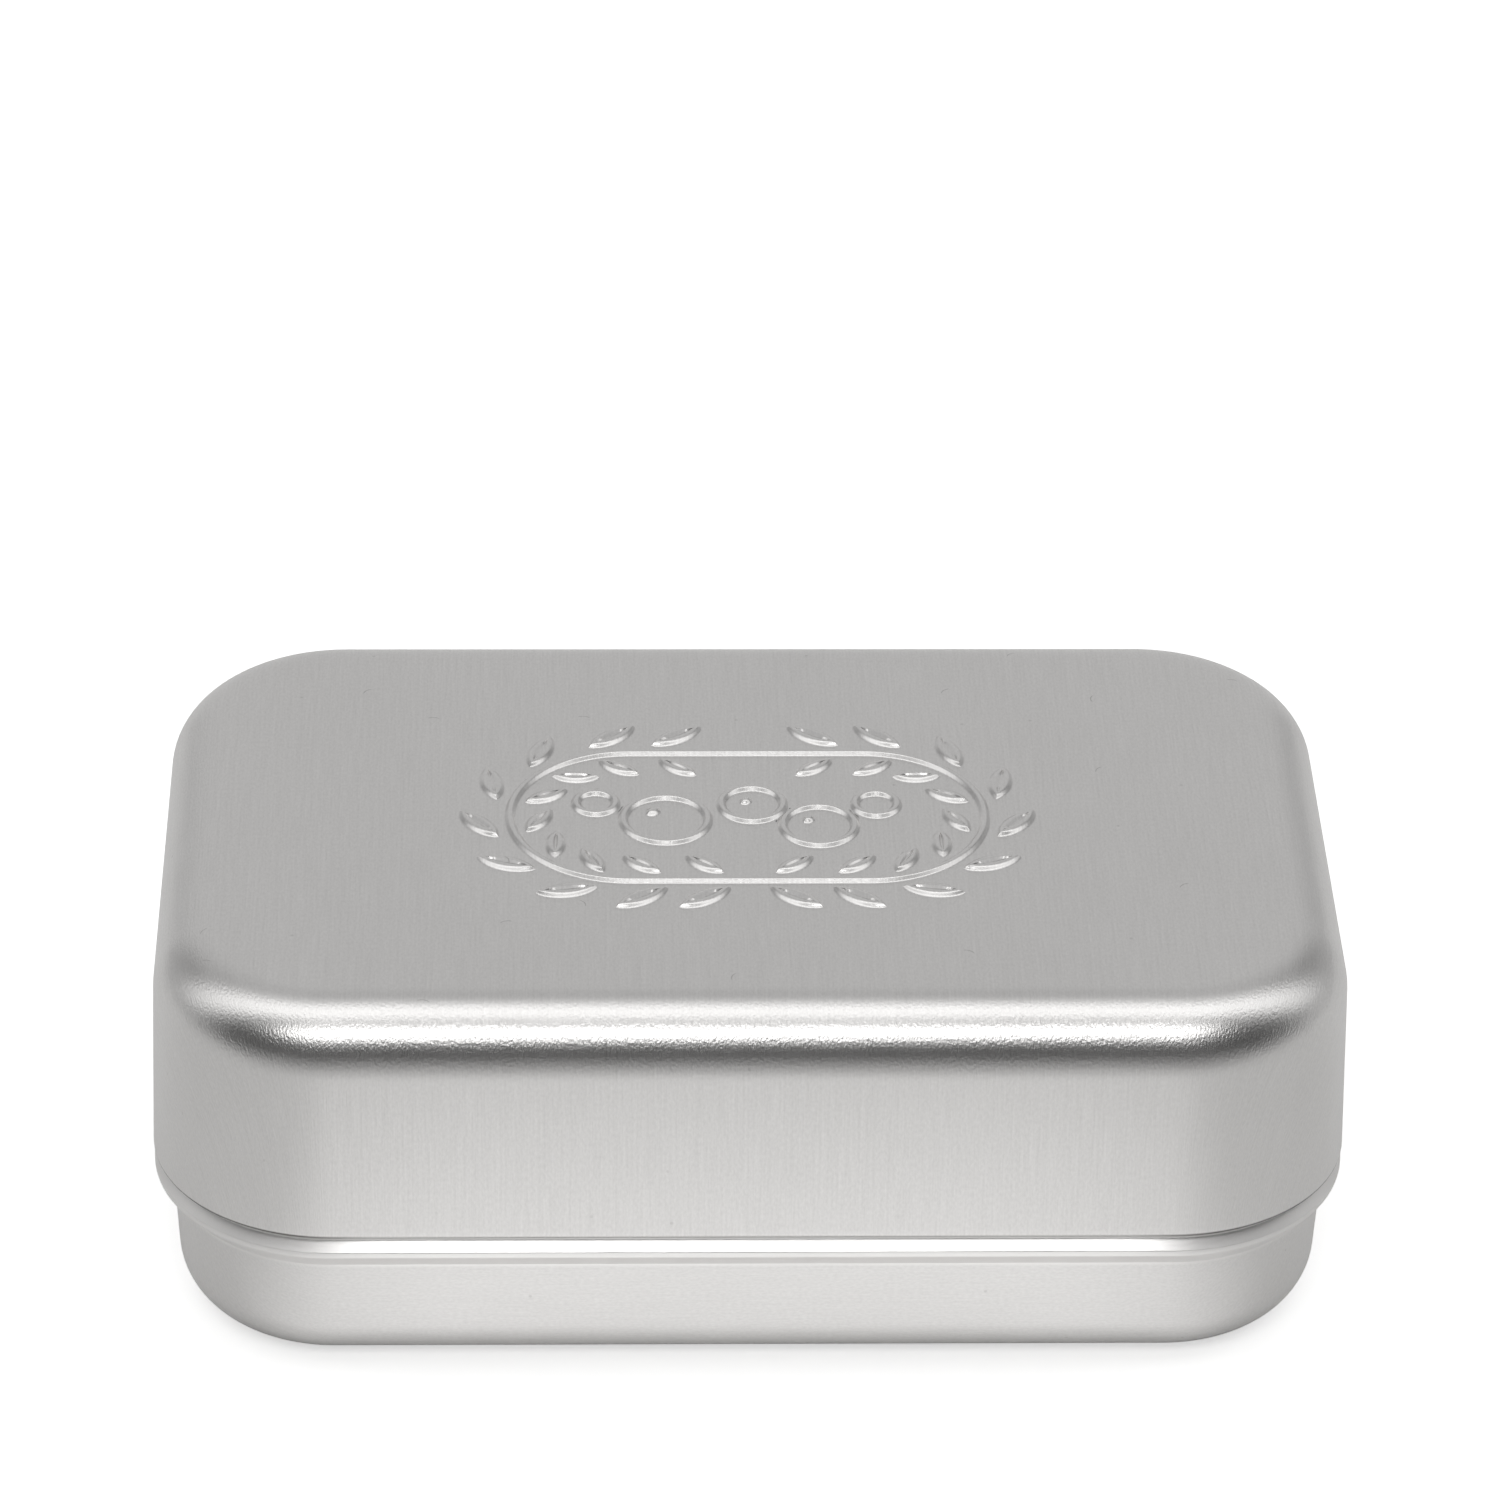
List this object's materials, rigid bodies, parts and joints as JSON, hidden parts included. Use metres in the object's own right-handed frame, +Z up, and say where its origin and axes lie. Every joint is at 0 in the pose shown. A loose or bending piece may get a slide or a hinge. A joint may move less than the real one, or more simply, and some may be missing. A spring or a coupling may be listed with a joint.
{
  "type": "soap tin",
  "caption": "Oblong aluminium soap tin with rounded corners: a slip lid over a base with a stop bead, and a lift-out slotted drainer.",
  "frame": {"origin": "middle of the base's flat bottom, where the tin stands", "axes": "+X along the tin's length, +Y to its back, +Z up through the lid"},
  "size_m": [0.095, 0.061, 0.0338],
  "materials": {
    "brushed_aluminium": "satin, finely brushed",
    "plain_aluminium": "satin, as pressed"
  },
  "bodies": {
    "base": {"base": "brushed_aluminium"},
    "lid": {"lid": "brushed_aluminium"},
    "drain_tray": {"drain_tray": "plain_aluminium"}
  },
  "joints": [
    {"name": "lid_lift", "type": "slide", "parent": "base", "child": "lid", "axis": [0, 0, 1], "range_m": [0, 0.045]},
    {"name": "tray_lift", "type": "slide", "parent": "base", "child": "drain_tray", "axis": [0, 0, 1], "range_m": [0, 0.0207]}
  ]
}
